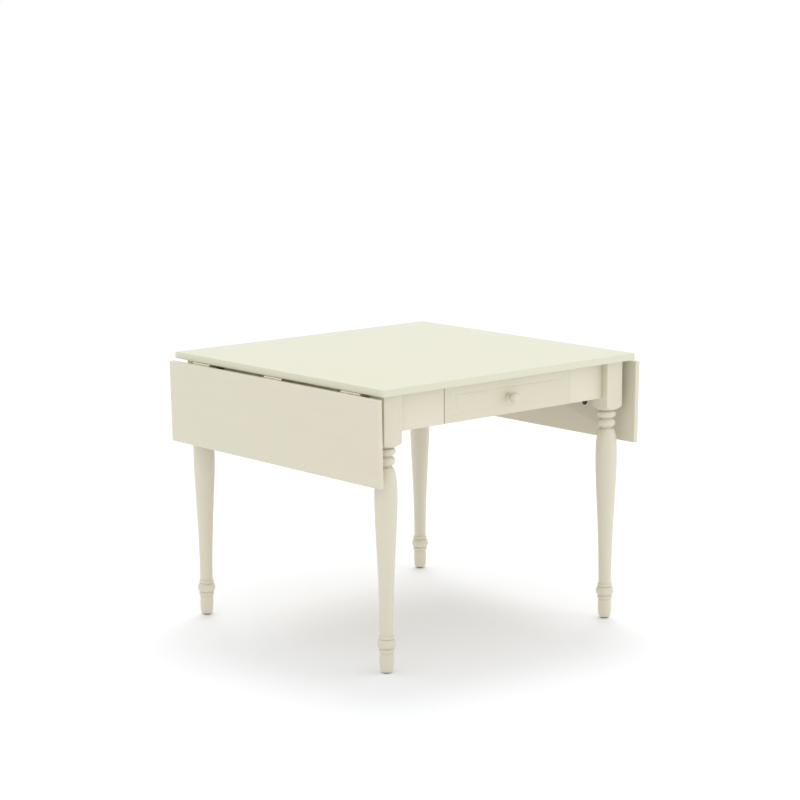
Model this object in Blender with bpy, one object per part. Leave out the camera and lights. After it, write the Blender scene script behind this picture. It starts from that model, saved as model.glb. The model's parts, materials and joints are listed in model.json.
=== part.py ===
"""Drop leaf table: a fixed top on four turned legs, two hanging leaves and one drawer.

Metres, +Z up. X runs from leaf to leaf, -Y is the front with the drawer. The origin is on
the floor under the middle of the table. The leaves are modelled as they hang.
"""

import math

import bmesh
import bpy
from mathutils import Matrix, Vector

# Driving dimensions
TOP_WIDTH = 0.914
TOP_DEPTH = 0.884
TABLE_HEIGHT = 0.750
BOARD = 0.019
LEAF_WIDTH = 0.2266
HANG_TILT = math.radians(1.3)
OVERHANG = 0.024
BLOCK = 0.0595
BLOCK_BOTTOM = 0.5925
APRON_HEIGHT = 0.1028
APRON_THICK = 0.020
GAP = 0.0003

# Edges of the boards
NOSE_RADIUS = 0.008
EASE_RADIUS = 0.0015
NOSE_SEGMENTS = 4
NEAR_ONE = 0.9
SHARP_ANGLE = math.radians(35)

# Drawer
OPENING_CENTRE = 0.0175
DRAWER_SHIFT = 0.0011
OPENING_WIDTH = 0.460
DRAWER_GAP = 0.0015
DRAWER_LENGTH = 0.420
DRAWER_SIDE_INSET = 0.010
DRAWER_BOARD = 0.012
DRAWER_SIDE_BOTTOM = 0.640
DRAWER_SIDE_CLEARANCE = 0.0025
DRAWER_PANEL = 0.006
DRAWER_PANEL_RISE = 0.008
GROOVE_DEPTH = 0.005
PANEL_MARGIN_SIDE = 0.0245
PANEL_MARGIN_TOP = 0.014
PANEL_MARGIN_BOTTOM = 0.0145
PANEL_BEVEL = 0.0175
PANEL_RISE = 0.0025
PANEL_DEPTH = 0.0015
FIELD_DEPTH = 0.0005
RUNNER_SHELF = 0.0115
RUNNER_WALL = 0.018
RUNNER_HEIGHT = 0.060
RUNNER_TOE = 0.016

# Drawer knob: radius and distance from its base
KNOB_STEM = ((0.0100, 0.0), (0.0100, 0.0022), (0.0070, 0.0045), (0.0060, 0.0080), (0.0076, 0.0108))
KNOB_HEAD_START = 0.0112
KNOB_RADIUS = 0.0148
KNOB_LENGTH = 0.0362
KNOB_RISE = 0.0455
KNOB_SIDES = 20
KNOB_STEPS = 7

# Hinges, in a cross-section whose origin is the pin's axis
PIN_OUTBOARD = 0.0004
PIN_DROP = 0.0040
JOINT_GAP = 0.0012
KNUCKLE_RADIUS = 0.0036
KNUCKLE_BORE = 0.0021
PIN_RADIUS = 0.0018
HINGE_PLATE = 0.0018
HINGE_LENGTH = 0.075
HINGE_REACH = 0.030
HINGE_SPACING = 0.317
KNUCKLES = 5
FINGER_END = 0.0015

# Folding stays, in the same cross-section: pivot A on the apron, pivot B on the leaf
STAY_SPACING = 0.290
STAY_A = Vector((-0.0335, 0.0, -0.050))
STAY_B_REACH = 0.085
STAY_B_STANDOFF = 0.0100
LOWER_ARM = 0.0800
UPPER_ARM = 0.0530
ARM_HALF_WIDTH = 0.0070
ARM_THICK = 0.0026
EAR_THICK = 0.0025
EAR_RADIUS = 0.0070
EAR_ROOT_HALF = 0.012
PIVOT_RADIUS = 0.0030
PIVOT_BORE = 0.0033
RIVET_HEAD_RADIUS = 0.0045
RIVET_HEAD = 0.0010
STAY_PLATE = 0.0025
STAY_PLATE_HALF_WIDTH = 0.015
STAY_PLATE_TOP = -0.010
STAY_PLATE_BOTTOM = -0.066
LEAF_PLATE_HALF_LENGTH = 0.026

# Round pieces
LEG_POINTS = 16
ROUND_SIDES = 16
RIVET_SIDES = 12
GLIDE_HEIGHT = 0.003
GLIDE_RADIUS = 0.008

# Turned part of a leg from the floor up: (radius, height) points, fillets as (radius, low, high)
# and beads as (core radius, bulge, low, high)
FOOT = (
    (0.0150, 0.0033), (0.0168, 0.0080), (0.0185, 0.0240),
    (0.0187, 0.0340), (0.0180, 0.0480), (0.0178, 0.0560),
)
FOOT_FILLET = (0.0203, 0.0565, 0.0645)
ANKLE_BEAD = (0.0182, 0.0062, 0.0662, 0.0908)
ANKLE_FILLET = (0.0202, 0.0915, 0.0990)
ANKLE = (0.0176, 0.1005)
VASE = (0.0297, 0.4550)
NECK = (0.0155, 0.5410)
NECK_BEAD = (0.0165, 0.0076, 0.5455, 0.5670)
COLLAR_FILLET = (0.0166, 0.5690)
COLLAR_BEAD = (0.0180, 0.0078, 0.5715, 0.5900)
COLLAR_RADIUS = 0.0221
BEAD_STEPS = 4
TAPER_STEPS = 9
TAPER_POWER = 0.8
SHOULDER_STEPS = 6
SHOULDER_POWER = 3.0

# The sloping lower corners of a leg's square block, turned down to the collar
TONGUE_REACH = 0.0262
TONGUE_START = 0.0008
TONGUE_RISE = 0.0088
TONGUE_STEPS = 3

# Places worked out from the driving dimensions
UNDERSIDE = TABLE_HEIGHT - BOARD
LEG_X = TOP_WIDTH / 2 - OVERHANG - BLOCK / 2
LEG_Y = TOP_DEPTH / 2 - OVERHANG - BLOCK / 2
APRON_BOTTOM = UNDERSIDE - APRON_HEIGHT
APRON_OUTER_X = LEG_X + APRON_THICK / 2
APRON_OUTER_Y = LEG_Y + APRON_THICK / 2
APRON_INNER_Y = LEG_Y - APRON_THICK / 2
DRAWER_X = OPENING_CENTRE + DRAWER_SHIFT
PIN_X = TOP_WIDTH / 2 + PIN_OUTBOARD
PIN_Z = UNDERSIDE - PIN_DROP
SWING = math.pi / 2 + HANG_TILT
SIDES = {"left": -1, "right": 1}
ENDS = {"front": -1, "back": 1}
HINGE_SPOTS = {"front": -1, "middle": 0, "back": 1}


def clear_scene():
    for old in list(bpy.data.objects):
        bpy.data.objects.remove(old, do_unlink=True)


def material(name, colour, roughness, metallic=0.0):
    made = bpy.data.materials.new(name)
    made.use_nodes = True
    shader = made.node_tree.nodes["Principled BSDF"]
    shader.inputs["Base Color"].default_value = (*colour, 1.0)
    shader.inputs["Roughness"].default_value = roughness
    shader.inputs["Metallic"].default_value = metallic
    made.diffuse_color = (*colour, 1.0)
    return made


def empty(name, location=(0, 0, 0), rotation=(0, 0, 0), parent=None):
    made = bpy.data.objects.new(name, None)
    bpy.context.scene.collection.objects.link(made)
    made.location = location
    made.rotation_euler = rotation
    made.parent = parent
    return made


def place(name, mesh, finish, location=(0, 0, 0), rotation=(0, 0, 0), parent=None):
    """A named sub-part made from a mesh, with one material of its own."""
    made = bpy.data.objects.new(name, mesh)
    bpy.context.scene.collection.objects.link(made)
    made.location = location
    made.rotation_euler = rotation
    made.parent = parent
    if not mesh.materials:
        mesh.materials.append(None)
    slot = made.material_slots[0]
    slot.link = "OBJECT"
    own = material(name, *finish)
    slot.material = own
    return made


def mesh_of(name, bm, smooth=False):
    bmesh.ops.recalc_face_normals(bm, faces=bm.faces)
    made = bpy.data.meshes.new(name)
    bm.to_mesh(made)
    bm.free()
    if smooth:
        made.shade_smooth()
        made.set_sharp_from_angle(angle=SHARP_ANGLE)
    return made


def box_bmesh(low, high):
    bm = bmesh.new()
    bmesh.ops.create_cube(bm, size=1.0)
    low, high = Vector(low), Vector(high)
    for vert in bm.verts:
        vert.co = Vector([(low[i] + high[i]) / 2 + vert.co[i] * (high[i] - low[i]) for i in range(3)])
    return bm


def box_mesh(name, low, high):
    return mesh_of(name, box_bmesh(low, high))


def ease(bm, chosen, radius, segments=1):
    """Round the edges whose middle point and direction the test accepts."""
    edges = []
    for edge in bm.edges:
        middle = (edge.verts[0].co + edge.verts[1].co) / 2
        along = (edge.verts[1].co - edge.verts[0].co).normalized()
        if chosen(middle, along):
            edges.append(edge)
    bmesh.ops.bevel(bm, geom=edges, offset=radius, segments=segments, profile=0.5, affect="EDGES")


def prism(name, loops, thickness, smooth=False):
    """A flat plate in X and Z with holes: the first loop is its outline. It runs from Y 0 to thickness."""
    bm = bmesh.new()
    edges = []
    for loop in loops:
        verts = [bm.verts.new((x, 0.0, z)) for x, z in loop]
        edges += [bm.edges.new((verts[i], verts[(i + 1) % len(verts)])) for i in range(len(verts))]
    bmesh.ops.triangle_fill(bm, use_beauty=True, use_dissolve=False, edges=edges)
    grown = bmesh.ops.extrude_face_region(bm, geom=bm.faces[:])
    moved = [item for item in grown["geom"] if isinstance(item, bmesh.types.BMVert)]
    bmesh.ops.translate(bm, verts=moved, vec=(0.0, thickness, 0.0))
    return mesh_of(name, bm, smooth)


def circle(radius, centre=(0.0, 0.0), sides=ROUND_SIDES):
    turn = 2 * math.pi / sides
    return [
        (centre[0] + radius * math.cos(turn * i), centre[1] + radius * math.sin(turn * i))
        for i in range(sides)
    ]


def lathe(name, profile, sides=ROUND_SIDES):
    """A turned piece about Z from (radius, height) points, bottom to top, closed at both ends."""
    bm = bmesh.new()
    rings = []
    for radius, height in profile:
        rings.append([bm.verts.new((x, y, height)) for x, y in circle(radius, sides=sides)])
    join_rings(bm, rings)
    return mesh_of(name, bm, smooth=True)


def join_rings(bm, rings):
    for low, high in zip(rings, rings[1:]):
        for i in range(len(low)):
            j = (i + 1) % len(low)
            bm.faces.new((low[i], low[j], high[j], high[i]))
    bm.faces.new(list(reversed(rings[0])))
    bm.faces.new(rings[-1])


def joined(name, meshes, operation="UNION"):
    """One mesh from several closed ones, by exact Booleans on the first."""
    bodies = [bpy.data.objects.new(name + "_piece", mesh) for mesh in meshes]
    for body in bodies:
        bpy.context.scene.collection.objects.link(body)
    base, others = bodies[0], bodies[1:]
    for other in others:
        other.hide_render = True
        other.display_type = "WIRE"
        modifier = base.modifiers.new("join", "BOOLEAN")
        modifier.operation = operation
        modifier.solver = "EXACT"
        modifier.object = other
    bpy.context.view_layer.update()
    seen = base.evaluated_get(bpy.context.evaluated_depsgraph_get())
    made = bpy.data.meshes.new_from_object(seen)
    made.name = name
    for body in bodies:
        bpy.data.objects.remove(body, do_unlink=True)
    return made


# Finishes: colour, roughness, metallic
PAINT = ((0.80, 0.77, 0.66), 0.45)
PAINT_TOP = ((0.84, 0.82, 0.71), 0.38)
PAINT_APRON = ((0.76, 0.72, 0.61), 0.48)
BARE_WOOD = ((0.62, 0.48, 0.31), 0.65)
PLY = ((0.66, 0.53, 0.36), 0.60)
ZINC = ((0.62, 0.60, 0.55), 0.35, 0.9)
BLACK_STEEL = ((0.02, 0.02, 0.02), 0.50, 0.6)
GLIDE_PLASTIC = ((0.10, 0.09, 0.08), 0.55)


def add_table_top():
    half_x, half_y = TOP_WIDTH / 2, TOP_DEPTH / 2
    bm = box_bmesh((-half_x, -half_y, UNDERSIDE), (half_x, half_y, TABLE_HEIGHT))

    def upper_end_edge(middle, along):
        return abs(along.x) > NEAR_ONE and middle.z > TABLE_HEIGHT - EASE_RADIUS

    def lower_end_edge(middle, along):
        return abs(along.x) > NEAR_ONE and middle.z < UNDERSIDE + EASE_RADIUS

    ease(bm, upper_end_edge, NOSE_RADIUS, NOSE_SEGMENTS)
    ease(bm, lower_end_edge, EASE_RADIUS)
    place("table_top", mesh_of("table_top", bm), PAINT_TOP)


def leaf_mesh():
    """A leaf as it lies when raised, seen from its pin: outboard is +X, its underside is at +PIN_DROP."""
    half_y = TOP_DEPTH / 2
    far = JOINT_GAP + LEAF_WIDTH
    top = PIN_DROP + BOARD
    bm = box_bmesh((JOINT_GAP, -half_y, PIN_DROP), (far, half_y, top))

    def upper_free_edge(middle, along):
        level = abs(along.z) < 1 - NEAR_ONE and middle.z > top - EASE_RADIUS
        return level and (middle.x > far - EASE_RADIUS or abs(middle.y) > half_y - EASE_RADIUS)

    ease(bm, upper_free_edge, NOSE_RADIUS, NOSE_SEGMENTS)
    return mesh_of("leaf", bm)


def knuckle_bands(first):
    """The stretches of Y that a plate's knuckles take, every second one from the first."""
    pitch = HINGE_LENGTH / KNUCKLES
    start = -HINGE_LENGTH / 2
    bands = []
    for i in range(first, KNUCKLES, 2):
        bands.append((start + i * pitch + GAP / 2, start + (i + 1) * pitch - GAP / 2))
    return bands


def hinge_plate_mesh(name, first):
    """A hinge plate that reaches along +X, with its barrel knuckles about the Y axis."""
    clear = KNUCKLE_RADIUS + GAP
    low, high = KNUCKLE_RADIUS - HINGE_PLATE, KNUCKLE_RADIUS
    outline = [(HINGE_REACH, HINGE_LENGTH / 2), (HINGE_REACH, -HINGE_LENGTH / 2)]
    outline.append((clear, -HINGE_LENGTH / 2))
    for start, end in knuckle_bands(first):
        outline += [(clear, start), (FINGER_END, start), (FINGER_END, end), (clear, end)]
    outline.append((clear, HINGE_LENGTH / 2))
    bm = bmesh.new()
    corners = [point for i, point in enumerate(outline) if point != outline[i - 1]]
    face = bm.faces.new([bm.verts.new((x, y, low)) for x, y in corners])
    grown = bmesh.ops.extrude_face_region(bm, geom=[face])
    moved = [item for item in grown["geom"] if isinstance(item, bmesh.types.BMVert)]
    bmesh.ops.translate(bm, verts=moved, vec=(0.0, 0.0, high - low))
    bodies = [mesh_of(name, bm)]
    for start, end in knuckle_bands(first):
        rings = [circle(KNUCKLE_RADIUS), circle(KNUCKLE_BORE, sides=RIVET_SIDES)]
        barrel = prism(name, rings, end - start)
        barrel.transform(Matrix.Translation((0.0, start, 0.0)))
        bodies.append(barrel)
    return joined(name, bodies)


def add_hinges(frames, swings):
    plate = hinge_plate_mesh("hinge_plate_outer", 1)
    inboard = hinge_plate_mesh("hinge_plate_inner", 0)
    inboard.transform(Matrix.Scale(-1.0, 4, (1.0, 0.0, 0.0)))
    inboard.flip_normals()
    rod = [(PIN_RADIUS, -HINGE_LENGTH / 2), (PIN_RADIUS, HINGE_LENGTH / 2)]
    pin = lathe("hinge_pin", rod, sides=RIVET_SIDES)
    for side, sign in SIDES.items():
        for spot, step in HINGE_SPOTS.items():
            at = (0.0, sign * step * HINGE_SPACING, 0.0)
            place(f"{side}_{spot}_hinge_top_plate", inboard, ZINC, at, parent=frames[side])
            place(f"{side}_{spot}_hinge_leaf_plate", plate, ZINC, at, parent=swings[side])
            place(f"{side}_{spot}_hinge_pin", pin, ZINC, at, (math.pi / 2, 0, 0), frames[side])


def swung(point, angle):
    """A point of the cross-section turned about the pin, lowering it by the angle."""
    return Matrix.Rotation(angle, 3, "Y") @ point


def elbow_at(first, second):
    """Where the two arms of a stay meet: the lower one of the two crossings of their circles."""
    apart = second - first
    length = apart.length
    along = (LOWER_ARM**2 - UPPER_ARM**2 + length**2) / (2 * length)
    rise = math.sqrt(LOWER_ARM**2 - along**2)
    unit = apart / length
    across = Vector((unit.z, 0.0, -unit.x))
    return first + unit * along + across * rise


def arm_mesh(name, length):
    """A flat arm from its own origin along +X with a bore at both ends."""
    half = ROUND_SIDES // 2
    turn = math.pi / half
    outline = []
    for centre, start in ((length, -math.pi / 2), (0.0, math.pi / 2)):
        for i in range(half + 1):
            angle = start + turn * i
            spot = (centre + ARM_HALF_WIDTH * math.cos(angle), ARM_HALF_WIDTH * math.sin(angle))
            outline.append(spot)
    bores = [circle(PIVOT_BORE, sides=RIVET_SIDES), circle(PIVOT_BORE, (length, 0.0), sides=RIVET_SIDES)]
    made = prism(name, [outline, *bores], ARM_THICK, smooth=True)
    made.transform(Matrix.Translation((0.0, -ARM_THICK / 2, 0.0)))
    return made


def ear_mesh(name, root, centre, half_height):
    """A lug from a plate's face at X root out to a round end about the pivot."""
    outline = [(root, centre[1] - half_height), (centre[0], centre[1] - EAR_RADIUS)]
    steps = ROUND_SIDES // 2
    facing = 1.0 if centre[0] > root else -1.0
    for i in range(1, steps):
        angle = -math.pi / 2 + math.pi * i / steps
        out, up = EAR_RADIUS * math.cos(angle), EAR_RADIUS * math.sin(angle)
        outline.append((centre[0] + facing * out, centre[1] + up))
    outline += [(centre[0], centre[1] + EAR_RADIUS), (root, centre[1] + half_height)]
    made = prism(name, [outline], EAR_THICK)
    made.transform(Matrix.Translation((0.0, -EAR_THICK / 2, 0.0)))
    return made


def pivot_mesh(name, centre, toward):
    """A rivet that stands out of an ear along Y, through an arm's bore, with a head past the arm."""
    shank = EAR_THICK / 2 + GAP + ARM_THICK + GAP
    profile = [(PIVOT_RADIUS, 0.0), (PIVOT_RADIUS, shank)]
    profile += [(RIVET_HEAD_RADIUS, shank), (RIVET_HEAD_RADIUS, shank + RIVET_HEAD)]
    made = lathe(name, profile, sides=RIVET_SIDES)
    made.transform(Matrix.Rotation(-toward * math.pi / 2, 4, "X"))
    made.transform(Matrix.Translation((centre[0], 0.0, centre[1])))
    return made


def apron_bracket_mesh(inward):
    """The stay's plate on the apron, with its lug and pivot, about the stay's own Y."""
    face = APRON_OUTER_X - PIN_X + GAP
    name = "stay_bracket"
    low = (face, -STAY_PLATE_HALF_WIDTH, STAY_PLATE_BOTTOM)
    high = (face + STAY_PLATE, STAY_PLATE_HALF_WIDTH, STAY_PLATE_TOP)
    pivot = (STAY_A.x, STAY_A.z)
    ear = ear_mesh(name, face + STAY_PLATE / 2, pivot, EAR_ROOT_HALF)
    return joined(name, [box_mesh(name, low, high), ear, pivot_mesh(name, pivot, inward)])


def leaf_bracket_mesh(inward):
    """The stay's plate on the leaf's underside, as it lies with the leaf raised."""
    face = PIN_DROP - GAP
    name = "stay_leaf_bracket"
    centre_z = PIN_DROP - STAY_B_STANDOFF
    ear_y = inward * (EAR_THICK + 2 * ARM_THICK + 3 * GAP)
    low = (STAY_B_REACH - LEAF_PLATE_HALF_LENGTH, ear_y - STAY_PLATE_HALF_WIDTH, face - STAY_PLATE)
    high = (STAY_B_REACH + LEAF_PLATE_HALF_LENGTH, ear_y + STAY_PLATE_HALF_WIDTH, face)
    ear = ear_mesh(name, 0.0, (STAY_B_STANDOFF - GAP - STAY_PLATE / 2, 0.0), EAR_ROOT_HALF)
    ear.transform(Matrix.Rotation(math.pi / 2, 4, "Y"))
    ear.transform(Matrix.Translation((STAY_B_REACH, ear_y, face - STAY_PLATE / 2)))
    rivet = pivot_mesh(name, (STAY_B_REACH, centre_z), -inward)
    rivet.transform(Matrix.Translation((0.0, ear_y, 0.0)))
    return joined(name, [box_mesh(name, low, high), ear, rivet])


def pitch_of(direction):
    """The turn about Y that points a piece's own +X along a direction of the cross-section."""
    return math.atan2(-direction.z, direction.x)


def add_stays(frames, swings):
    raised_b = Vector((STAY_B_REACH, 0.0, PIN_DROP - STAY_B_STANDOFF))
    hung_b = swung(raised_b, SWING)
    elbow = elbow_at(STAY_A, hung_b)
    lower, upper = arm_mesh("stay_lower_arm", LOWER_ARM), arm_mesh("stay_upper_arm", UPPER_ARM)
    first_layer = EAR_THICK / 2 + GAP + ARM_THICK / 2
    second_layer = first_layer + ARM_THICK + GAP
    on_apron = {inward: apron_bracket_mesh(inward) for inward in (-1, 1)}
    on_leaf = {inward: leaf_bracket_mesh(inward) for inward in (-1, 1)}
    for side, sign in SIDES.items():
        for end, step in ENDS.items():
            local_y = sign * step * STAY_SPACING
            inward = -1 if local_y > 0 else 1
            at = Vector((0.0, local_y, 0.0))
            first = at + STAY_A + Vector((0.0, inward * first_layer, 0.0))
            second = at + hung_b + Vector((0.0, inward * second_layer, 0.0))
            lower_turn = (0.0, pitch_of(elbow - STAY_A), 0.0)
            upper_turn = (0.0, pitch_of(elbow - hung_b), 0.0)
            name = f"{side}_{end}_stay"
            place(f"{name}_apron_bracket", on_apron[inward], BLACK_STEEL, at, parent=frames[side])
            place(f"{name}_lower_arm", lower, BLACK_STEEL, first, lower_turn, frames[side])
            place(f"{name}_upper_arm", upper, BLACK_STEEL, second, upper_turn, frames[side])
            place(f"{name}_leaf_bracket", on_leaf[inward], BLACK_STEEL, at, parent=swings[side])


def arc_points(centre, radius, start, end, count):
    """Points of a round bead or hollow on a turned outline, from one height to the next."""
    points = []
    for i in range(count + 1):
        height = start + (end - start) * i / count
        offset = (height - (start + end) / 2) / (abs(end - start) / 2)
        points.append((centre + radius * math.sqrt(max(0.0, 1.0 - offset**2)), height))
    return points


def leg_turning():
    """Radius and height of the turned part of a leg, bottom to top."""
    points = list(FOOT)
    points += [(FOOT_FILLET[0], FOOT_FILLET[1]), (FOOT_FILLET[0], FOOT_FILLET[2])]
    points += arc_points(*ANKLE_BEAD, BEAD_STEPS)
    points += [(ANKLE_FILLET[0], ANKLE_FILLET[1]), (ANKLE_FILLET[0], ANKLE_FILLET[2])]
    points.append(ANKLE)
    for i in range(1, TAPER_STEPS + 1):
        share = 1.0 - i / TAPER_STEPS
        swell = 0.5 + 0.5 * math.cos(math.pi * share**TAPER_POWER)
        height = ANKLE[1] + (VASE[1] - ANKLE[1]) * i / TAPER_STEPS
        points.append((ANKLE[0] + (VASE[0] - ANKLE[0]) * swell, height))
    for i in range(1, SHOULDER_STEPS + 1):
        share = i / SHOULDER_STEPS
        height = VASE[1] + (NECK[1] - VASE[1]) * share
        swell = math.sqrt(1.0 - share**SHOULDER_POWER)
        points.append((NECK[0] + (VASE[0] - NECK[0]) * swell, height))
    points += arc_points(*NECK_BEAD, BEAD_STEPS)
    points.append(COLLAR_FILLET)
    points += arc_points(*COLLAR_BEAD, BEAD_STEPS)
    points.append((COLLAR_RADIUS, BLOCK_BOTTOM))
    return points


def square_ring(reach):
    """A ring of a square block whose corners a circle of the given radius cuts off."""
    points = []
    for i in range(LEG_POINTS):
        angle = 2 * math.pi * i / LEG_POINTS
        side = BLOCK / 2 / max(abs(math.cos(angle)), abs(math.sin(angle)))
        radius = min(side, reach)
        points.append((radius * math.cos(angle), radius * math.sin(angle)))
    return points


def leg_mesh():
    bm = bmesh.new()
    rings = []
    for radius, height in leg_turning():
        rings.append([bm.verts.new((x, y, height)) for x, y in circle(radius, sides=LEG_POINTS)])
    corner = BLOCK / math.sqrt(2)
    for i in range(TONGUE_STEPS + 1):
        share = i / TONGUE_STEPS
        reach = TONGUE_REACH + (corner - TONGUE_REACH) * share
        height = BLOCK_BOTTOM + TONGUE_START + TONGUE_RISE * share
        rings.append([bm.verts.new((x, y, height)) for x, y in square_ring(reach)])
    rings.append([bm.verts.new((x, y, UNDERSIDE - GAP)) for x, y in square_ring(corner)])
    join_rings(bm, rings)
    return mesh_of("leg", bm, smooth=True)


def add_legs():
    leg = leg_mesh()
    glide = lathe("glide", [(GLIDE_RADIUS, 0.0), (GLIDE_RADIUS, GLIDE_HEIGHT)])
    for end, forward in ENDS.items():
        for side, sign in SIDES.items():
            at = (sign * LEG_X, forward * LEG_Y, 0.0)
            place(f"{end}_{side}_leg", leg, PAINT, at)
            place(f"{end}_{side}_glide", glide, GLIDE_PLASTIC, at)


def add_aprons():
    inner_x, inner_y = LEG_X - BLOCK / 2 - GAP, LEG_Y - BLOCK / 2 - GAP
    high = UNDERSIDE - GAP
    for side, sign in SIDES.items():
        low_x = sign * LEG_X - APRON_THICK / 2
        ends = (low_x, -inner_y, APRON_BOTTOM), (low_x + APRON_THICK, inner_y, high)
        place(f"{side}_apron", box_mesh(f"{side}_apron", *ends), PAINT_APRON)
    rear = (-inner_x, APRON_INNER_Y, APRON_BOTTOM), (inner_x, APRON_OUTER_Y, high)
    place("rear_apron", box_mesh("rear_apron", *rear), PAINT_APRON)
    left_end, right_end = OPENING_CENTRE - OPENING_WIDTH / 2, OPENING_CENTRE + OPENING_WIDTH / 2
    for side, start, end in (("left", -inner_x, left_end), ("right", right_end, inner_x)):
        ends = (start, -APRON_OUTER_Y, APRON_BOTTOM), (end, -APRON_INNER_Y, high)
        place(f"front_{side}_apron", box_mesh(f"front_{side}_apron", *ends), PAINT_APRON)


def drawer_front_mesh(half_width, bottom, top):
    """The drawer's front board: a shallow bevel sinks in from the border, round a slightly raised field."""
    front = -APRON_OUTER_Y
    bm = box_bmesh((-half_width, front, bottom), (half_width, -APRON_INNER_Y, top))
    face = next(f for f in bm.faces if f.normal.y < -NEAR_ONE)
    outer_low = Vector((-half_width + PANEL_MARGIN_SIDE, front, bottom + PANEL_MARGIN_BOTTOM))
    outer_high = Vector((half_width - PANEL_MARGIN_SIDE, front, top - PANEL_MARGIN_TOP))
    steps = ((0.0, 0.0), (PANEL_BEVEL - PANEL_RISE, PANEL_DEPTH), (PANEL_BEVEL, FIELD_DEPTH))
    for inset, depth in steps:
        bmesh.ops.inset_region(bm, faces=[face], thickness=EASE_RADIUS)
        for vert in face.verts:
            vert.co.x = (outer_low.x + inset) if vert.co.x < 0 else (outer_high.x - inset)
            vert.co.z = (outer_low.z + inset) if vert.co.z < (bottom + top) / 2 else (outer_high.z - inset)
            vert.co.y = front + depth
    return mesh_of("drawer_front", bm)


def add_drawer():
    half_front = OPENING_WIDTH / 2 - DRAWER_GAP
    outer = OPENING_WIDTH / 2 - DRAWER_SIDE_INSET
    inner = outer - DRAWER_BOARD
    front_bottom, front_top = APRON_BOTTOM, UNDERSIDE - DRAWER_GAP
    side_top = UNDERSIDE - DRAWER_SIDE_CLEARANCE
    start = -APRON_INNER_Y + GAP
    end = start + DRAWER_LENGTH
    panel_bottom = DRAWER_SIDE_BOTTOM + DRAWER_PANEL_RISE
    panel_top = panel_bottom + DRAWER_PANEL
    box = empty("drawer_slide", (DRAWER_X, 0.0, 0.0))

    reach = inner + GROOVE_DEPTH
    groove_low = (-reach, start - GROOVE_DEPTH, panel_bottom - GAP)
    groove_high = (reach, end + GROOVE_DEPTH, panel_top + GAP)
    groove = box_mesh("groove", groove_low, groove_high)
    board = drawer_front_mesh(half_front, front_bottom, front_top)
    place("drawer_front", joined("drawer_front", [board, groove], "DIFFERENCE"), PAINT, parent=box)
    for side, sign in SIDES.items():
        near, far = sorted((sign * inner, sign * outer))
        plank = box_mesh("side", (near, start, DRAWER_SIDE_BOTTOM), (far, end, side_top))
        made = joined(f"drawer_{side}_side", [plank, groove], "DIFFERENCE")
        place(f"drawer_{side}_side", made, BARE_WOOD, parent=box)
    back_low = (-inner + GAP, end - DRAWER_BOARD, panel_top + GAP)
    back = box_mesh("drawer_back", back_low, (inner - GAP, end, side_top))
    place("drawer_back", back, BARE_WOOD, parent=box)
    panel_low = (-reach + GAP, start - GROOVE_DEPTH + GAP, panel_bottom)
    panel = box_mesh("drawer_bottom", panel_low, (reach - GAP, end, panel_top))
    place("drawer_bottom", panel, PLY, parent=box)
    add_knob(box, front_bottom + KNOB_RISE)


def add_knob(box, height):
    """A round turned knob; its base sits on the raised field and its axis points forward."""
    profile = list(KNOB_STEM)
    half = (KNOB_LENGTH - KNOB_HEAD_START) / 2
    for i in range(1, KNOB_STEPS):
        angle = -math.pi / 2 + math.pi * i / KNOB_STEPS
        profile.append((KNOB_RADIUS * math.cos(angle), KNOB_HEAD_START + half + half * math.sin(angle)))
    mesh = lathe("knob", profile, sides=KNOB_SIDES)
    field = -APRON_OUTER_Y + FIELD_DEPTH - GAP
    place("drawer_knob", mesh, PAINT, (0.0, field, height), (math.pi / 2, 0, 0), box)


def add_runners():
    """An L-shaped rail under and beside each drawer side, from the front apron to the rear one."""
    start, end = -APRON_INNER_Y + GAP, APRON_INNER_Y - GAP
    shelf_top = DRAWER_SIDE_BOTTOM - GAP
    shelf_bottom = shelf_top - RUNNER_SHELF
    wall_face = OPENING_WIDTH / 2 - DRAWER_SIDE_INSET + 2 * GAP
    toe = wall_face - RUNNER_TOE
    for side, sign in SIDES.items():
        outline = [
            (sign * toe, shelf_bottom),
            (sign * (wall_face + RUNNER_WALL), shelf_bottom),
            (sign * (wall_face + RUNNER_WALL), shelf_bottom + RUNNER_HEIGHT),
            (sign * wall_face, shelf_bottom + RUNNER_HEIGHT),
            (sign * wall_face, shelf_top),
            (sign * toe, shelf_top),
        ]
        rail = prism(f"{side}_drawer_runner", [outline], end - start)
        place(f"{side}_drawer_runner", rail, BARE_WOOD, (DRAWER_X, start, 0.0))


def add_leaves(swings):
    leaf = leaf_mesh()
    for side in SIDES:
        place(f"{side}_leaf", leaf, PAINT, parent=swings[side])


def main():
    clear_scene()
    frames, swings = {}, {}
    for side, sign in SIDES.items():
        turn = 0.0 if sign > 0 else math.pi
        frames[side] = empty(f"{side}_hinge_line", (sign * PIN_X, 0.0, PIN_Z), (0.0, 0.0, turn))
        swings[side] = empty(f"{side}_leaf_swing", rotation=(0.0, SWING, 0.0), parent=frames[side])
    add_table_top()
    add_leaves(swings)
    add_hinges(frames, swings)
    add_stays(frames, swings)
    add_legs()
    add_aprons()
    add_drawer()
    add_runners()


main()
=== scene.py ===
"""Looks of the drop leaf table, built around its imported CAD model.

Metres, +Z up, -Y is the front with the drawer. Places come from the frame. The outlines below are
the CAD model's own, drawn with more points and softer edges.
"""

import json
import math

import bmesh
import bpy
from mathutils import Matrix, Vector


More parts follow.
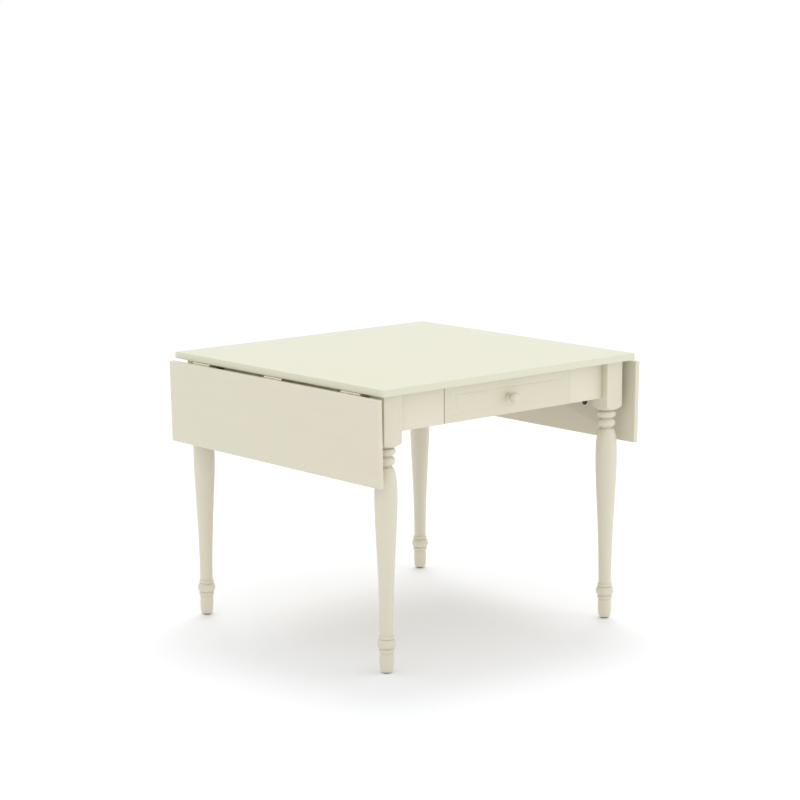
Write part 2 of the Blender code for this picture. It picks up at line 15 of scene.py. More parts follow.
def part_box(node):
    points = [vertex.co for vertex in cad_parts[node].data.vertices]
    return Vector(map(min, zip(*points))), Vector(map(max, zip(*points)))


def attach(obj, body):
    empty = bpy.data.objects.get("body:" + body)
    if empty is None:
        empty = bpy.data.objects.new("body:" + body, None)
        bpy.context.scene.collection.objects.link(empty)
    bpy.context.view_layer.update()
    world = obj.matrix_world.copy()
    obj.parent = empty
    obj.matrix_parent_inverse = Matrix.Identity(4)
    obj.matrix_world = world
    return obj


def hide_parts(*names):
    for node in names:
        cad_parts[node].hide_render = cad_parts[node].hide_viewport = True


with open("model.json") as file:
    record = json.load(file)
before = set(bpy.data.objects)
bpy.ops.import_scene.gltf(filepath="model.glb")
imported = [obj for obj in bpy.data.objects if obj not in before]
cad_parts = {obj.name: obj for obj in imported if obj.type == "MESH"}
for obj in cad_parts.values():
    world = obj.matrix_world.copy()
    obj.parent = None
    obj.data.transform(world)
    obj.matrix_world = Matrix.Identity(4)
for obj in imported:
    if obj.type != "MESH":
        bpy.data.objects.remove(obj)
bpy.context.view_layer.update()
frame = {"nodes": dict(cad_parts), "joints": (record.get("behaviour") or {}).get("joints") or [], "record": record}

RECORD = frame["record"]
BODY_OF = {node: body for body, nodes in RECORD["behaviour"]["bodies"].items() for node in nodes}
JOINTS = {joint["name"]: joint for joint in frame["joints"]}
SIDES = ("left", "right")
ENDS = ("front", "back")
DOWN = Vector((0, 0, -1))

# Sizes of the woodwork, read from the frame
TOP_LOW, TOP_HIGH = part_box("table_top")
BOARD = TOP_HIGH.z - TOP_LOW.z
LEG_LOW, LEG_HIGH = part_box("front_right_leg")
BLOCK = LEG_HIGH.x - LEG_LOW.x

# Edges
NOSE = 0.008
EASE = 0.0012
JOINT_GAP = 0.0012
PLAN_CORNER = 0.0015
ARC_STEPS = 6
UNDERSIDE_STEPS = 3
CORNER_STEPS = 4
SHARP_ANGLE = math.radians(32)
FLAT_ANGLE = math.radians(1)
WELD_DISTANCE = 2e-5

# Turned leg: (radius, height) points, fillets as (radius, low, high), beads as (core, bulge, low, high)
LEG_SIDES = 72
FOOT = (
    (0.0115, 0.0033), (0.0145, 0.0040), (0.0162, 0.0072), (0.0175, 0.0140), (0.0184, 0.0240),
    (0.0187, 0.0340), (0.0184, 0.0420), (0.0180, 0.0480), (0.0178, 0.0556),
)
FOOT_FILLET = (0.0203, 0.0565, 0.0645)
ANKLE_BEAD = (0.0182, 0.0062, 0.0662, 0.0908)
ANKLE_FILLET = (0.0202, 0.0915, 0.0990)
ANKLE = (0.0176, 0.1005)
VASE = (0.0297, 0.4550)
NECK = (0.0155, 0.5410)
NECK_BEAD = (0.0165, 0.0076, 0.5455, 0.5670)
COLLAR_FILLET = (0.0166, 0.5690)
COLLAR_BEAD = (0.0180, 0.0078, 0.5715, 0.5900)
COLLAR_RADIUS = 0.0221
BLOCK_BOTTOM = 0.5925
FILLET_EASE = 0.0006
TAPER_STEPS = 40
TAPER_POWER = 0.8
SHOULDER_STEPS = 28
SHOULDER_POWER = 3.0
BEAD_STEPS = 12
TONGUE_REACH = 0.0262
TONGUE_START = 0.0008
TONGUE_RISE = 0.0088
TONGUE_STEPS = 12
ARRIS_SHARE = 0.985

# Drawer front's routed panel and the knob
PANEL_MARGIN_SIDE = 0.0245
PANEL_MARGIN_TOP = 0.014
PANEL_MARGIN_BOTTOM = 0.0145
PANEL_BEVEL = 0.0175
PANEL_RISE = 0.0025
PANEL_DEPTH = 0.0015
FIELD_DEPTH = 0.0005
FIELD_ROUND = 0.0006
PANEL_SHARP_ANGLE = math.radians(4)
BOARD_EDGE = 0.0005
BOARD_EDGE_STEPS = 3
KNOB_STEM = (
    (0.0094, 0.0), (0.0100, 0.0006), (0.0100, 0.0018), (0.0086, 0.0026), (0.0072, 0.0042),
    (0.0062, 0.0062), (0.0060, 0.0080), (0.0064, 0.0096), (0.0076, 0.0108),
)
KNOB_HEAD_START = 0.0112
KNOB_SIDES = 56
KNOB_STEPS = 16

# Metalwork
METAL_EASE = 0.00025
METAL_EASE_STEPS = 2
STAY_EASE = 0.0003
HINGE_PLATE = 0.0018
STAY_PLATE = 0.0025
STAY_SCREW_MARGIN = 0.007
GLIDE_EASE_SHARE = 0.12
ROUND_SIDES = 24
RIVET_RADIUS = 0.0042
RIVET_RISE = 0.0012
RIVET_STEPS = 6

# Slotted screw heads: how deep the base sinks and how far the halves overlap it, and the crown's width
SCREW_RADIUS = 0.0034
SCREW_RISE = 0.0007
SCREW_SLOT = 0.0009
SCREW_SINK_SHARE = 0.35
SCREW_OVERLAP_SHARE = 0.9
SCREW_CROWN_SHARE = 0.82
SCREW_ARC_STEPS = 12

# A hinge plate's screws: steps along the plate and shares of its reach
HINGE_SCREWS = ((-1, 0.72), (0, 0.45), (1, 0.72))
HINGE_SCREW_PITCH = 0.026


# ---------------------------------------------------------------- mesh helpers


def object_of(name, bm, smooth=True, sharp=SHARP_ANGLE):
    bmesh.ops.recalc_face_normals(bm, faces=bm.faces)
    mesh = bpy.data.meshes.new(name)
    bm.to_mesh(mesh)
    bm.free()
    if smooth:
        mesh.shade_smooth()
        mesh.set_sharp_from_angle(angle=sharp)
    made = bpy.data.objects.new(name, mesh)
    bpy.context.scene.collection.objects.link(made)
    return made


def join_rings(bm, rings):
    """Skins a stack of rings of vertices and closes both ends."""
    for low, high in zip(rings, rings[1:]):
        for i in range(len(low)):
            j = (i + 1) % len(low)
            bm.faces.new((low[i], low[j], high[j], high[i]))
    bm.faces.new(list(reversed(rings[0])))
    bm.faces.new(rings[-1])


def rounded_outline(low, high, radius):
    """A rectangle's outline with round corners, as points of a plane."""
    points = []
    corners = ((high[0], low[1], -90), (high[0], high[1], 0), (low[0], high[1], 90), (low[0], low[1], 180))
    for x, y, start in corners:
        centre_x = x - math.copysign(radius, x - (low[0] + high[0]) / 2)
        centre_y = y - math.copysign(radius, y - (low[1] + high[1]) / 2)
        for i in range(CORNER_STEPS + 1):
            angle = math.radians(start + 90 * i / CORNER_STEPS)
            points.append((centre_x + radius * math.cos(angle), centre_y + radius * math.sin(angle)))
    return points


def inset_at(radius, drop):
    """How far an edge of that radius has drawn in at a depth under the face it rounds."""
    if drop >= radius:
        return 0.0
    return radius - math.sqrt(radius**2 - (radius - drop) ** 2)


def rimmed_board(name, low, high, noses):
    """A board whose upper edges have their own radii, at -X, +X, -Y and +Y, over an eased underside."""
    drops = {0.0}
    for radius in set(noses):
        drops |= {radius * (1 - math.cos(math.pi / 2 * i / ARC_STEPS)) for i in range(ARC_STEPS + 1)}
    levels = []
    for i in range(UNDERSIDE_STEPS + 1):
        rise = EASE * (1 - math.cos(math.pi / 2 * i / UNDERSIDE_STEPS))
        levels.append((rise, (EASE,) * len(noses), False))
    levels += [(drop, noses, True) for drop in sorted(drops, reverse=True)]
    bm = bmesh.new()
    rings = []
    for drop, radii, upper in levels:
        insets = [inset_at(radius, drop) for radius in radii]
        at = high[2] - drop if upper else low[2] + drop
        plan_low = (low[0] + insets[0], low[1] + insets[2])
        plan_high = (high[0] - insets[1], high[1] - insets[3])
        outline = rounded_outline(plan_low, plan_high, PLAN_CORNER)
        rings.append([bm.verts.new((x, y, at)) for x, y in outline])
    join_rings(bm, rings)
    return object_of(name, bm)


def circle(radius, sides):
    turn = 2 * math.pi / sides
    return [(radius * math.cos(turn * i), radius * math.sin(turn * i)) for i in range(sides)]


def lathe(name, profile, sides):
    """A turned piece about Z, from (radius, height) points."""
    bm = bmesh.new()
    rings = [[bm.verts.new((x, y, height)) for x, y in circle(radius, sides)] for radius, height in profile]
    join_rings(bm, rings)
    return object_of(name, bm)


def refined(node, ease=METAL_EASE, steps=METAL_EASE_STEPS):
    """The CAD node's own shape with its vertices welded, its flat faces joined and its edges rounded."""
    bm = bmesh.new()
    bm.from_mesh(frame["nodes"][node].data)
    bmesh.ops.remove_doubles(bm, verts=bm.verts, dist=WELD_DISTANCE)
    bmesh.ops.dissolve_limit(bm, angle_limit=FLAT_ANGLE, verts=bm.verts, edges=bm.edges)
    sharp = [e for e in bm.edges if len(e.link_faces) == 2 and e.calc_face_angle(0.0) > SHARP_ANGLE]
    bmesh.ops.bevel(
        bm, geom=sharp, offset=ease, segments=steps, profile=0.5, affect="EDGES", clamp_overlap=True
    )
    return object_of(f"{node}_look", bm)


def dress(piece, node, finish):
    """Gives a piece its material and makes it stand for a CAD node."""
    piece.data.materials.append(finish)
    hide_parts(node)
    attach(piece, BODY_OF[node])


def trim(piece, node, finish):
    """A small extra piece, such as a screw, that goes with a CAD node."""
    piece.data.materials.append(finish)
    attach(piece, BODY_OF[node])


# ------------------------------------------------------------------- materials


class Nodes:
    """A short way to write a material's node tree."""

    def __init__(self, name):
        self.material = bpy.data.materials.new(name)
        self.material.use_nodes = True
        self.tree = self.material.node_tree
        self.shader = self.tree.nodes["Principled BSDF"]
        self.place = self.add("ShaderNodeTexCoord").outputs["Object"]

    def add(self, kind, **settings):
        node = self.tree.nodes.new(kind)
        for key, value in settings.items():
            setattr(node, key, value)
        return node

    def link(self, out, into):
        self.tree.links.new(out, into)

    def stretched(self, scale):
        mapping = self.add("ShaderNodeMapping")
        mapping.inputs["Scale"].default_value = scale
        self.link(self.place, mapping.inputs["Vector"])
        return mapping.outputs["Vector"]

    def noise(self, scale, stretch=(1, 1, 1), detail=3.0, roughness=0.5, distortion=0.0):
        node = self.add("ShaderNodeTexNoise")
        node.inputs["Scale"].default_value = scale
        node.inputs["Detail"].default_value = detail
        node.inputs["Roughness"].default_value = roughness
        node.inputs["Distortion"].default_value = distortion
        self.link(self.stretched(stretch), node.inputs["Vector"])
        return node.outputs["Fac"]

    def ramp(self, value, stops):
        node = self.add("ShaderNodeValToRGB")
        elements = node.color_ramp.elements
        while len(elements) < len(stops):
            elements.new(0.5)
        for element, (position, colour) in zip(elements, stops):
            element.position = position
            element.color = (*colour, 1.0)
        self.link(value, node.inputs["Fac"])
        return node.outputs["Color"]

    def span(self, value, low, high):
        node = self.add("ShaderNodeMapRange")
        node.inputs["To Min"].default_value = low
        node.inputs["To Max"].default_value = high
        self.link(value, node.inputs["Value"])
        return node.outputs["Result"]

    def mix(self, factor, first, second, blend="MIX"):
        node = self.add("ShaderNodeMix", data_type="RGBA", blend_type=blend)
        for socket, value in ((0, factor), (6, first), (7, second)):
            if isinstance(value, bpy.types.NodeSocket):
                self.link(value, node.inputs[socket])
            elif socket == 0:
                node.inputs[0].default_value = value
            else:
                node.inputs[socket].default_value = (*value, 1.0)
        return node.outputs[2]

    def pointed(self, low, high):
        """0 up to one pointiness and 1 from another: over 0.5 for outward edges, under it for hollows."""
        node = self.add("ShaderNodeMapRange")
        node.inputs["From Min"].default_value = low
        node.inputs["From Max"].default_value = high
        self.link(self.add("ShaderNodeNewGeometry").outputs["Pointiness"], node.inputs["Value"])
        return node.outputs["Result"]

    def bump(self, *layers):
        """Stacked bumps, each (height, strength, distance)."""
        normal = None
        for height, strength, distance in layers:
            node = self.add("ShaderNodeBump")
            node.inputs["Strength"].default_value = strength
            node.inputs["Distance"].default_value = distance
            self.link(height, node.inputs["Height"])
            if normal:
                self.link(normal, node.inputs["Normal"])
            normal = node.outputs["Normal"]
        self.link(normal, self.shader.inputs["Normal"])

    def constant(self, **values):
        for key, value in values.items():
            self.shader.inputs[key.replace("_", " ")].default_value = value


def along_axis(axis, across, along):
    scale = [across] * 3
    scale[axis] = along
    return tuple(scale)


def shade(colour, share):
    return tuple(channel * share for channel in colour)


def paint(name, colour, axis):
    """Satin paint brushed along one axis over fine-grained wood, with painted shade in its hollows and a painted
    highlight on its outward edges.
    """
    n = Nodes(name)
    streaks = n.noise(9.0, along_axis(axis, 7.0, 0.45), detail=5.0, roughness=0.6)
    grain = n.noise(60.0, along_axis(axis, 6.0, 0.22), detail=4.0, distortion=0.3)
    clouds = n.noise(4.0, detail=2.0)
    peel = n.noise(900.0, detail=1.0)
    streaked = n.ramp(streaks, ((0.30, shade(colour, 0.975)), (0.70, colour)))
    clouded = n.mix(n.span(clouds, 0.0, 0.35), streaked, shade(colour, 0.965))
    # Painted shade: the colour darkens in hollows, where shade falls.
    hollow_shaded = n.mix(n.pointed(0.485, 0.43), clouded, shade(colour, 0.84))
    # Painted highlight: the colour lightens along outward edges.
    edge_highlighted = n.mix(n.pointed(0.56, 0.68), hollow_shaded, shade(colour, 1.04))
    n.link(edge_highlighted, n.shader.inputs["Base Color"])
    n.link(n.span(streaks, 0.36, 0.47), n.shader.inputs["Roughness"])
    n.constant(Coat_Weight=0.10, Coat_Roughness=0.32, Specular_IOR_Level=0.42)
    n.bump((grain, 0.10, 0.0006), (streaks, 0.08, 0.0010), (peel, 0.05, 0.0002))
    return n.material


def bare_wood(name, axis, light, dark):
    """Planed softwood with growth bands, fibres and pores along one axis."""
    n = Nodes(name)
    bands = n.noise(14.0, along_axis(axis, 3.4, 0.16), detail=6.0, roughness=0.62, distortion=1.1)
    fibres = n.noise(120.0, along_axis(axis, 7.0, 0.10), detail=4.0)
    pores = n.noise(260.0, along_axis(axis, 4.0, 0.12), detail=1.0)
    middle = tuple((a + b) / 2 for a, b in zip(light, dark))
    figure = n.ramp(bands, ((0.32, light), (0.47, middle), (0.53, light), (0.66, dark)))
    fibred = n.mix(n.span(fibres, 0.0, 0.45), figure, shade(middle, 0.82))
    flecks = n.ramp(pores, ((0.66, (0.0, 0.0, 0.0)), (0.76, (0.5, 0.5, 0.5))))
    n.link(n.mix(flecks, fibred, shade(dark, 0.55)), n.shader.inputs["Base Color"])
    n.link(n.span(fibres, 0.55, 0.75), n.shader.inputs["Roughness"])
    n.constant(Specular_IOR_Level=0.3)
    n.bump((fibres, 0.22, 0.0005), (bands, 0.12, 0.0008))
    return n.material


def zinc():
    n = Nodes("zinc_plate")
    spangle = n.noise(190.0, detail=4.0, roughness=0.7)
    brushed = n.noise(700.0, (1.0, 0.06, 1.0), detail=2.0)
    tarnish = n.ramp(spangle, ((0.35, (0.66, 0.61, 0.50)), (0.65, (0.82, 0.78, 0.67))))
    n.link(tarnish, n.shader.inputs["Base Color"])
    n.link(n.span(spangle, 0.26, 0.46), n.shader.inputs["Roughness"])
    n.constant(Metallic=1.0)
    n.bump((brushed, 0.10, 0.0002), (spangle, 0.06, 0.0003))
    return n.material


def black_paint():
    n = Nodes("black_stay_paint")
    powder = n.noise(1400.0, detail=2.0)
    dust = n.noise(38.0, detail=5.0, roughness=0.65)
    coat = n.ramp(dust, ((0.38, (0.012, 0.012, 0.013)), (0.72, (0.034, 0.033, 0.032))))
    worn = n.mix(n.pointed(0.58, 0.74), coat, (0.16, 0.155, 0.15))
    n.link(worn, n.shader.inputs["Base Color"])
    n.link(n.span(dust, 0.36, 0.58), n.shader.inputs["Roughness"])
    n.bump((powder, 0.16, 0.0002), (dust, 0.05, 0.0003))
    return n.material


def glide_plastic():
    n = Nodes("glide_plastic")
    scuffs = n.noise(420.0, (1.0, 1.0, 0.15), detail=4.0, roughness=0.7)
    coat = n.ramp(scuffs, ((0.40, (0.045, 0.040, 0.035)), (0.75, (0.130, 0.118, 0.100))))
    n.link(coat, n.shader.inputs["Base Color"])
    n.link(n.span(scuffs, 0.42, 0.68), n.shader.inputs["Roughness"])
    n.bump((scuffs, 0.2, 0.0002))
    return n.material


X_AXIS, Y_AXIS, Z_AXIS = 0, 1, 2
# The top's cream holds painted light: it is a whiter copy of the cream for the upward-facing top, while the
# leaves, of the same paint, take CREAM.
CREAM_TOP_LIT = (0.695, 0.688, 0.535)
CREAM = (0.695, 0.655, 0.520)
LIT_TOP_PAINT = paint("cream_paint_top_lit", CREAM_TOP_LIT, Y_AXIS)
LEAF_PAINT = paint("cream_paint_leaf", CREAM, Y_AXIS)
LEG_PAINT = paint("cream_paint_leg", CREAM, Z_AXIS)
RAIL_PAINT = paint("cream_paint_rail_x", CREAM, X_AXIS)
SIDE_RAIL_PAINT = paint("cream_paint_rail_y", CREAM, Y_AXIS)
PINE_COLOURS = ((0.66, 0.49, 0.30), (0.45, 0.28, 0.13))
PLY_COLOURS = ((0.70, 0.55, 0.37), (0.55, 0.39, 0.22))
PINE_ALONG_Y = bare_wood("drawer_pine_y", Y_AXIS, *PINE_COLOURS)
PINE_ALONG_X = bare_wood("drawer_pine_x", X_AXIS, *PINE_COLOURS)
PLY = bare_wood("drawer_plywood", X_AXIS, *PLY_COLOURS)
ZINC = zinc()
BLACK = black_paint()
GLIDE = glide_plastic()


# -------------------------------------------------------------------- woodwork


def add_top():
    noses = (EASE, EASE, NOSE, NOSE)
    # The top takes the whiter cream copy, which holds painted light.
    dress(rimmed_board("top_board", TOP_LOW, TOP_HIGH, noses), "table_top", LIT_TOP_PAINT)


def leaf_hinge(side):
    """A leaf hinge's pin, its full swing, and the turn that lowers a raised leaf to where it hangs."""
    joint = JOINTS[f"{side}_leaf_hinge"]
    pin, axis = Vector(joint["pos_m"]), Vector(joint["axis"])
    swing = math.radians(joint["range_deg"][1])
    lowered = Matrix.Translation(pin) @ Matrix.Rotation(-swing, 4, axis) @ Matrix.Translation(-pin)
    return pin, swing, lowered


def add_leaf(side):
    """The leaf is shaped as it lies when raised and is then swung down about its hinge."""
    pin, swing, lowered = leaf_hinge(side)
    tilt = swing - math.pi / 2
    low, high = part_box(f"{side}_leaf")
    width = (high.z - low.z - BOARD * math.sin(tilt)) / math.cos(tilt)
    near = abs(pin.x) + JOINT_GAP
    ends = (near, near + width) if side == "right" else (-near - width, -near)
    noses = (EASE, NOSE, NOSE, NOSE) if side == "right" else (NOSE, EASE, NOSE, NOSE)
    board_low = (ends[0], TOP_LOW.y, TOP_LOW.z)
    board_high = (ends[1], TOP_HIGH.y, TOP_HIGH.z)
    leaf = rimmed_board(f"{side}_leaf_board", board_low, board_high, noses)
    leaf.data.transform(lowered)
    dress(leaf, f"{side}_leaf", LEAF_PAINT)


def bead(core, bulge, low, high):
    middle, half = (low + high) / 2, (high - low) / 2
    points = []
    for i in range(BEAD_STEPS + 1):
        angle = math.pi * i / BEAD_STEPS
        points.append((core + bulge * math.sin(angle), middle - half * math.cos(angle)))
    return points


def fillet(radius, low, high):
    points = [(radius - FILLET_EASE, low), (radius, low + FILLET_EASE)]
    return points + [(radius, high - FILLET_EASE), (radius - FILLET_EASE, high)]


def leg_profile():
    points = list(FOOT) + fillet(*FOOT_FILLET) + bead(*ANKLE_BEAD) + fillet(*ANKLE_FILLET)
    points.append(ANKLE)
    for i in range(1, TAPER_STEPS + 1):
        share = 1.0 - i / TAPER_STEPS
        swell = 0.5 + 0.5 * math.cos(math.pi * share**TAPER_POWER)
        height = ANKLE[1] + (VASE[1] - ANKLE[1]) * i / TAPER_STEPS
        points.append((ANKLE[0] + (VASE[0] - ANKLE[0]) * swell, height))
    for i in range(1, SHOULDER_STEPS + 1):
        share = math.sin(math.pi / 2 * i / SHOULDER_STEPS)
        swell = math.sqrt(max(0.0, 1.0 - share**SHOULDER_POWER))
        height = VASE[1] + (NECK[1] - VASE[1]) * share
        points.append((NECK[0] + (VASE[0] - NECK[0]) * swell, height))
    points += bead(*NECK_BEAD) + [COLLAR_FILLET] + bead(*COLLAR_BEAD)
    points.append((COLLAR_RADIUS, BLOCK_BOTTOM))
    return points


def square_ring(reach):
    """A square block's outline with its corners cut off by a circle."""
    points = []
    for i in range(LEG_SIDES):
        angle = 2 * math.pi * i / LEG_SIDES
        side = BLOCK / 2 / max(abs(math.cos(angle)), abs(math.sin(angle)))
        radius = min(side, reach)
        points.append((radius * math.cos(angle), radius * math.sin(angle)))
    return points


def leg_look(name):
    bm = bmesh.new()
    rings = []
    for radius, height in leg_profile():
        rings.append([bm.verts.new((x, y, height)) for x, y in circle(radius, LEG_SIDES)])
    corner = BLOCK / math.sqrt(2) * ARRIS_SHARE
    for i in range(TONGUE_STEPS + 1):
        share = i / TONGUE_STEPS
        reach = TONGUE_REACH + (corner - TONGUE_REACH) * share
        height = BLOCK_BOTTOM + TONGUE_START + TONGUE_RISE * share
        rings.append([bm.verts.new((x, y, height)) for x, y in square_ring(reach)])
    rings.append([bm.verts.new((x, y, LEG_HIGH.z)) for x, y in square_ring(corner)])
    join_rings(bm, rings)
    return object_of(name, bm)


def add_legs():
    for end in ENDS:
        for side in SIDES:
            low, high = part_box(f"{end}_{side}_leg")
            leg = leg_look(f"{end}_{side}_turned_leg")
            leg.data.transform(Matrix.Translation(((low.x + high.x) / 2, (low.y + high.y) / 2, 0.0)))
            dress(leg, f"{end}_{side}_leg", LEG_PAINT)
            add_glide(f"{end}_{side}_glide")


def add_glide(node):
    low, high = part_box(node)
    radius, height = (high.x - low.x) / 2, high.z - low.z
    ease = GLIDE_EASE_SHARE * radius
    profile = [(radius - 2 * ease, 0.0), (radius - ease / 2, ease / 2), (radius, 1.5 * ease)]
    profile += [(radius, height - ease), (radius - ease / 2, height)]
    glide = lathe(f"{node}_disc", profile, ROUND_SIDES * 2)
    glide.data.transform(Matrix.Translation(((low.x + high.x) / 2, (low.y + high.y) / 2, low.z)))
    dress(glide, node, GLIDE)


def add_plain_boards():
    """The aprons, the drawer's box and its runners, in the CAD model's shapes with rounded edges."""
    finishes = {
        "left_apron": SIDE_RAIL_PAINT,
        "right_apron": SIDE_RAIL_PAINT,
        "rear_apron": RAIL_PAINT,
        "front_left_apron": RAIL_PAINT,
        "front_right_apron": RAIL_PAINT,
        "drawer_left_side": PINE_ALONG_Y,
        "drawer_right_side": PINE_ALONG_Y,
        "drawer_back": PINE_ALONG_X,
        "drawer_bottom": PLY,
        "left_drawer_runner": PINE_ALONG_Y,
        "right_drawer_runner": PINE_ALONG_Y,
    }
    for node, finish in finishes.items():
        dress(refined(node, BOARD_EDGE, BOARD_EDGE_STEPS), node, finish)


def add_drawer_front():
    """The front board, whose face sinks in a shallow bevel round a slightly raised field."""
    low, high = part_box("drawer_front")
    bm = bmesh.new()
    rings = []

    def ring(left, right, bottom, top, y):
        """Adds a rectangle that lies in from the board's four edges, at a depth."""
        x0, x1, z0, z1 = low.x + left, high.x - right, low.z + bottom, high.z - top
        rings.append([bm.verts.new((x, y, z)) for x, z in ((x0, z0), (x1, z0), (x1, z1), (x0, z1))])

    ring(0.0, 0.0, 0.0, 0.0, high.y)
    for i in range(CORNER_STEPS + 1):
        turn = math.pi / 2 * i / CORNER_STEPS
        inset, depth = BOARD_EDGE * (1 - math.cos(turn)), BOARD_EDGE * (1 - math.sin(turn))
        ring(inset, inset, inset, inset, low.y + depth)
    steps = (
        (0.0, 0.0),
        (PANEL_BEVEL - PANEL_RISE, PANEL_DEPTH),
        (PANEL_BEVEL - FIELD_ROUND, FIELD_DEPTH + FIELD_ROUND / 3),
        (PANEL_BEVEL, FIELD_DEPTH),
    )
    for inset, depth in steps:
        side = PANEL_MARGIN_SIDE + inset
        ring(side, side, PANEL_MARGIN_BOTTOM + inset, PANEL_MARGIN_TOP + inset, low.y + depth)
    join_rings(bm, rings)
    board = object_of("drawer_front_board", bm, sharp=PANEL_SHARP_ANGLE)
    dress(board, "drawer_front", RAIL_PAINT)


def add_knob():
    low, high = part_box("drawer_knob")
    radius, length = (high.x - low.x) / 2, high.y - low.y
    half = (length - KNOB_HEAD_START) / 2
    profile = list(KNOB_STEM)
    for i in range(1, KNOB_STEPS):
        angle = -math.pi / 2 + math.pi * i / KNOB_STEPS
        profile.append((radius * math.cos(angle), KNOB_HEAD_START + half + half * math.sin(angle)))
    knob = lathe("turned_knob", profile, KNOB_SIDES)
    middle = ((low.x + high.x) / 2, high.y, (low.z + high.z) / 2)
    knob.data.transform(Matrix.Translation(middle) @ Matrix.Rotation(math.pi / 2, 4, "X"))
    dress(knob, "drawer_knob", LEG_PAINT)


# ------------------------------------------------------------------- metalwork


def standing(place, normal):
    """The transform that seats a head at a place with its axis along a direction."""
    return Matrix.Translation(place) @ normal.to_track_quat("Z", "Y").to_matrix().to_4x4()


def slotted_screw(bm, place, normal):
    """A low head whose seat is at place and whose top faces normal: two halves with a slot between."""
    stand = standing(place, normal)
    sink = SCREW_RISE * SCREW_SINK_SHARE
    half = SCREW_SLOT / 2
    start = math.asin(half / SCREW_RADIUS)
    sweep = math.pi - 2 * start
    arc = [start + sweep * i / SCREW_ARC_STEPS for i in range(SCREW_ARC_STEPS + 1)]

    def ring(points, height):
        return [bm.verts.new(stand @ Vector((x, y, height))) for x, y in points]

    base = circle(SCREW_RADIUS, ROUND_SIDES)
    join_rings(bm, [ring(base, -sink), ring(base, sink)])
    for facing in (-1, 1):
        edge = facing * half
        outline = [(SCREW_RADIUS * math.cos(a), facing * SCREW_RADIUS * math.sin(a)) for a in arc]
        crown = [(x * SCREW_CROWN_SHARE, edge + (y - edge) * SCREW_CROWN_SHARE) for x, y in outline]
        join_rings(bm, [ring(outline, sink * SCREW_OVERLAP_SHARE), ring(crown, SCREW_RISE)])


def add_screws(name, node, spots, normal):
    bm = bmesh.new()
    for spot in spots:
        slotted_screw(bm, spot, normal)
    trim(object_of(name, bm), node, ZINC)


def hinge_screw_spots(pin_x, reach, middle_y, level):
    """Where a hinge plate's screws sit; the plate reaches from its pin by a signed length along X."""
    spots = []
    for step, share in HINGE_SCREWS:
        spots.append(Vector((pin_x + reach * share, middle_y + step * HINGE_SCREW_PITCH, level)))
    return spots


def add_hinges():
    for side in SIDES:
        pin, _, lowered = leaf_hinge(side)
        outward = math.copysign(1.0, pin.x)
        hung_face = (lowered.to_3x3() @ DOWN).normalized()
        for spot in ("front", "middle", "back"):
            stem = f"{side}_{spot}_hinge"
            for kind in ("top_plate", "leaf_plate", "pin"):
                dress(refined(f"{stem}_{kind}"), f"{stem}_{kind}", ZINC)
            low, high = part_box(f"{stem}_top_plate")
            reach = outward * ((high.x - pin.x) if outward < 0 else (pin.x - low.x))
            middle_y = (low.y + high.y) / 2
            face = high.z - HINGE_PLATE
            on_top = hinge_screw_spots(pin.x, -reach, middle_y, face)
            add_screws(f"{stem}_top_screws", f"{stem}_top_plate", on_top, DOWN)
            hung = [lowered @ raised for raised in hinge_screw_spots(pin.x, reach, middle_y, face)]
            add_screws(f"{stem}_leaf_screws", f"{stem}_leaf_plate", hung, hung_face)


def add_rivet_head(name, node, place, normal):
    """A round rivet head that stands on an arm's face."""
    stand = standing(place, normal)
    bm = bmesh.new()
    rings = []
    for i in range(RIVET_STEPS):
        angle = math.pi / 2 * i / RIVET_STEPS
        points = circle(RIVET_RADIUS * math.cos(angle), ROUND_SIDES)
        height = RIVET_RISE * math.sin(angle)
        rings.append([bm.verts.new(stand @ Vector((x, y, height))) for x, y in points])
    join_rings(bm, rings)
    trim(object_of(name, bm), node, BLACK)


def add_stays():
    for side in SIDES:
        for end in ENDS:
            stem = f"{side}_{end}_stay"
            for kind in ("apron_bracket", "lower_arm", "upper_arm", "leaf_bracket"):
                dress(refined(f"{stem}_{kind}", STAY_EASE), f"{stem}_{kind}", BLACK)
            add_stay_fixings(side, stem)


def add_stay_fixings(side, stem):
    """Screws through the apron plate and a rivet head where the two arms meet."""
    low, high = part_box(f"{stem}_apron_bracket")
    outward = -1.0 if side == "left" else 1.0
    plate_face = (low.x if outward > 0 else high.x) + outward * STAY_PLATE
    middle_y = (low.y + high.y) / 2
    ends = (high.z - STAY_SCREW_MARGIN, low.z + STAY_SCREW_MARGIN)
    spots = [Vector((plate_face, middle_y, z)) for z in ends]
    add_screws(f"{stem}_apron_screws", f"{stem}_apron_bracket", spots, Vector((outward, 0, 0)))
    arm_low, arm_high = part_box(f"{stem}_lower_arm")
    half = (arm_high.x - arm_low.x) / 2
    elbow = Vector(((arm_low.x + arm_high.x) / 2, 0.0, arm_low.z + half))
    upper_low, upper_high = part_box(f"{stem}_upper_arm")
    toward_upper = math.copysign(1.0, (upper_low.y + upper_high.y) - (arm_low.y + arm_high.y))
    elbow.y = arm_low.y if toward_upper > 0 else arm_high.y
    away = Vector((0, -toward_upper, 0))
    add_rivet_head(f"{stem}_elbow_rivet", f"{stem}_lower_arm", elbow, away)


# ------------------------------------------------------------- floor and light

FLOOR_REACH = 60.0
FLOOR_COLOUR = (0.945, 0.955, 0.975, 1.0)
SKY_STRENGTH = 1.0
SUN_FROM = (1.2, 1.3, 3.4)
SUN_STRENGTH = 0.62
SUN_SPREAD = math.radians(28)
SOFTBOX_PLACE = (2.6, -3.4, 1.5)
SOFTBOX_TARGET = (0.3, -0.4, 0.65)
SOFTBOX_SIZE = 1.6
SOFTBOX_WATTS = 10.0
CAMERA_PLACE = Vector((-4.10521, -4.68046, 1.69479))
CAMERA_AZIMUTH = math.radians(-41.1496)
CAMERA_ELEVATION = math.radians(9.8318)
CAMERA_ROLL = math.radians(-0.2186)
CAMERA_LENS = 102.645
SENSOR_WIDTH = 36.0


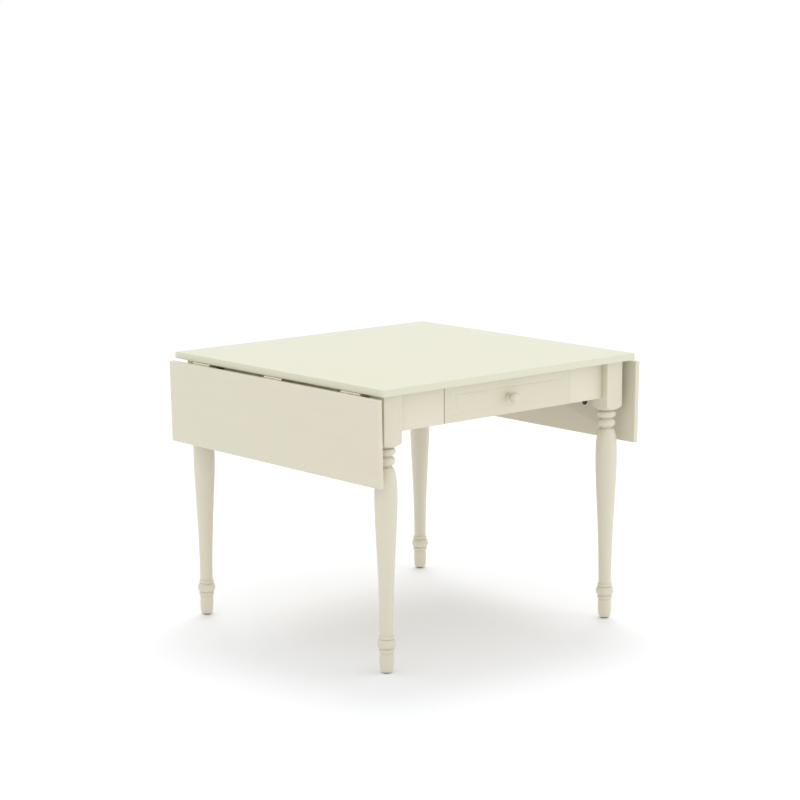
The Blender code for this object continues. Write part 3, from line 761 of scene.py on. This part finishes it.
def add_floor():
    bm = bmesh.new()
    corners = ((-1, -1), (1, -1), (1, 1), (-1, 1))
    bm.faces.new([bm.verts.new((x * FLOOR_REACH, y * FLOOR_REACH, 0.0)) for x, y in corners])
    floor = object_of("studio_floor", bm, smooth=False)
    n = Nodes("studio_floor")
    n.constant(Base_Color=FLOOR_COLOUR, Roughness=0.95, Specular_IOR_Level=0.0)
    floor.data.materials.append(n.material)


def add_area(name, place, target, size, watts):
    light = bpy.data.lights.new(name, "AREA")
    light.shape = "DISK"
    light.size = size
    light.energy = watts
    holder = bpy.data.objects.new(name, light)
    holder.location = place
    holder.rotation_euler = (Vector(target) - Vector(place)).to_track_quat("-Z", "Y").to_euler()
    bpy.context.scene.collection.objects.link(holder)


def add_sun(name, toward, strength, spread):
    """A soft distant light; toward points from the table to the light."""
    light = bpy.data.lights.new(name, "SUN")
    light.energy = strength
    light.angle = spread
    holder = bpy.data.objects.new(name, light)
    holder.rotation_euler = Vector(toward).to_track_quat("Z", "Y").to_euler()
    bpy.context.scene.collection.objects.link(holder)


def add_light():
    world = bpy.data.worlds.new("studio")
    world.use_nodes = True
    background = world.node_tree.nodes["Background"]
    background.inputs["Color"].default_value = (1.0, 1.0, 1.0, 1.0)
    background.inputs["Strength"].default_value = SKY_STRENGTH
    bpy.context.scene.world = world
    add_sun("key_from_behind", SUN_FROM, SUN_STRENGTH, SUN_SPREAD)
    add_area("front_softbox", SOFTBOX_PLACE, SOFTBOX_TARGET, SOFTBOX_SIZE, SOFTBOX_WATTS)


def add_camera():
    data = bpy.data.cameras.new("photo_view")
    data.lens = CAMERA_LENS
    data.sensor_width = SENSOR_WIDTH
    data.clip_end = 4 * FLOOR_REACH
    camera = bpy.data.objects.new("photo_view", data)
    aim = Matrix.Rotation(CAMERA_AZIMUTH, 4, "Z") @ Matrix.Rotation(math.pi / 2 - CAMERA_ELEVATION, 4, "X")
    camera.matrix_world = Matrix.Translation(CAMERA_PLACE) @ aim @ Matrix.Rotation(CAMERA_ROLL, 4, "Z")
    bpy.context.scene.collection.objects.link(camera)
    bpy.context.scene.camera = camera


add_top()
for leaf_side in SIDES:
    add_leaf(leaf_side)
add_legs()
add_plain_boards()
add_drawer_front()
add_knob()
add_hinges()
add_stays()
add_floor()
add_light()
add_camera()
bpy.context.scene.view_settings.view_transform = "Standard"
